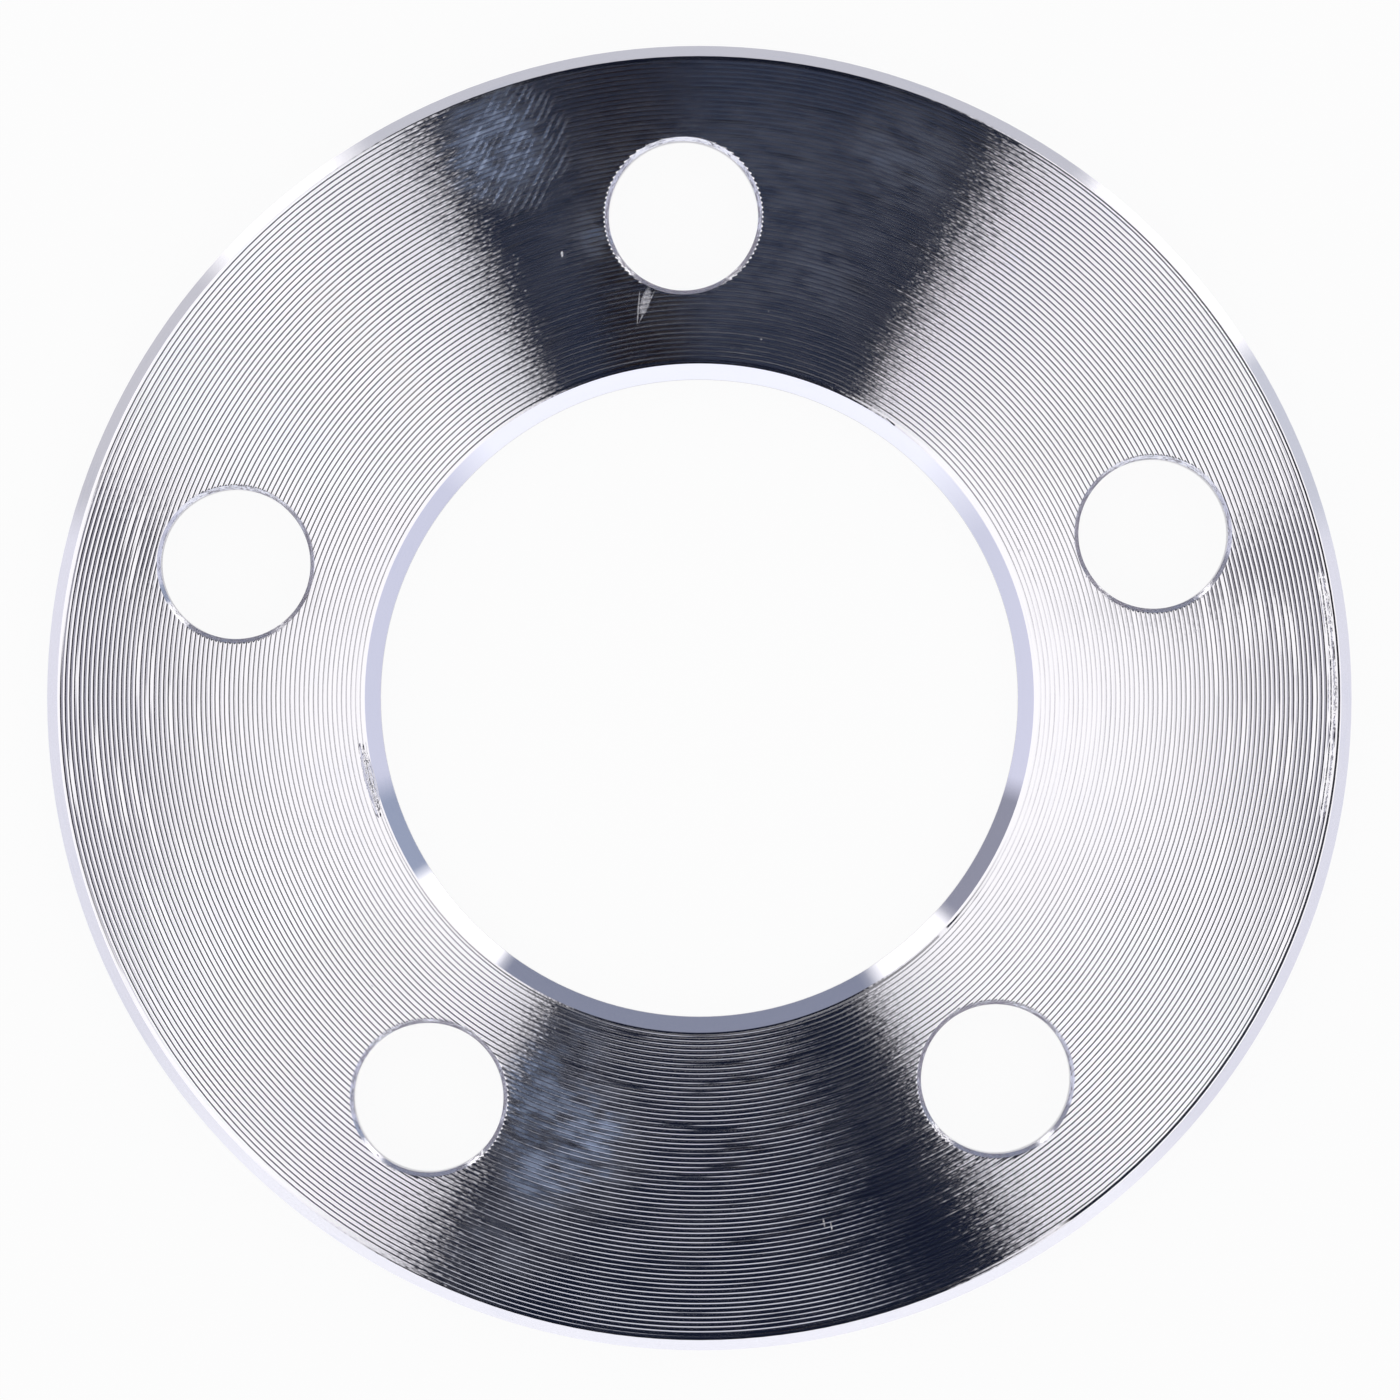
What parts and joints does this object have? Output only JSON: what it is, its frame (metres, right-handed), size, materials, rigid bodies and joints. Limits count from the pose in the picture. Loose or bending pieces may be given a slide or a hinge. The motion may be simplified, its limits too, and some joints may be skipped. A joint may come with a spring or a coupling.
{
  "type": "wheel spacer",
  "caption": "Flat turned aluminium ring with a chamfered centre bore and round stud holes, fitted between a hub and a wheel to set the wheel further out.",
  "frame": {"origin": "centre of the bore on the hub face, which is the face that the part lies on", "axes": "+Z along the bore from the hub face to the wheel face, +Y through the middle of one stud hole"},
  "size_m": [0.1352, 0.1352, 0.005],
  "materials": {
    "turned_aluminium": "bright, with fine facing marks from the lathe"
  },
  "bodies": {
    "root": {"spacer_ring": "turned_aluminium"}
  },
  "joints": []
}
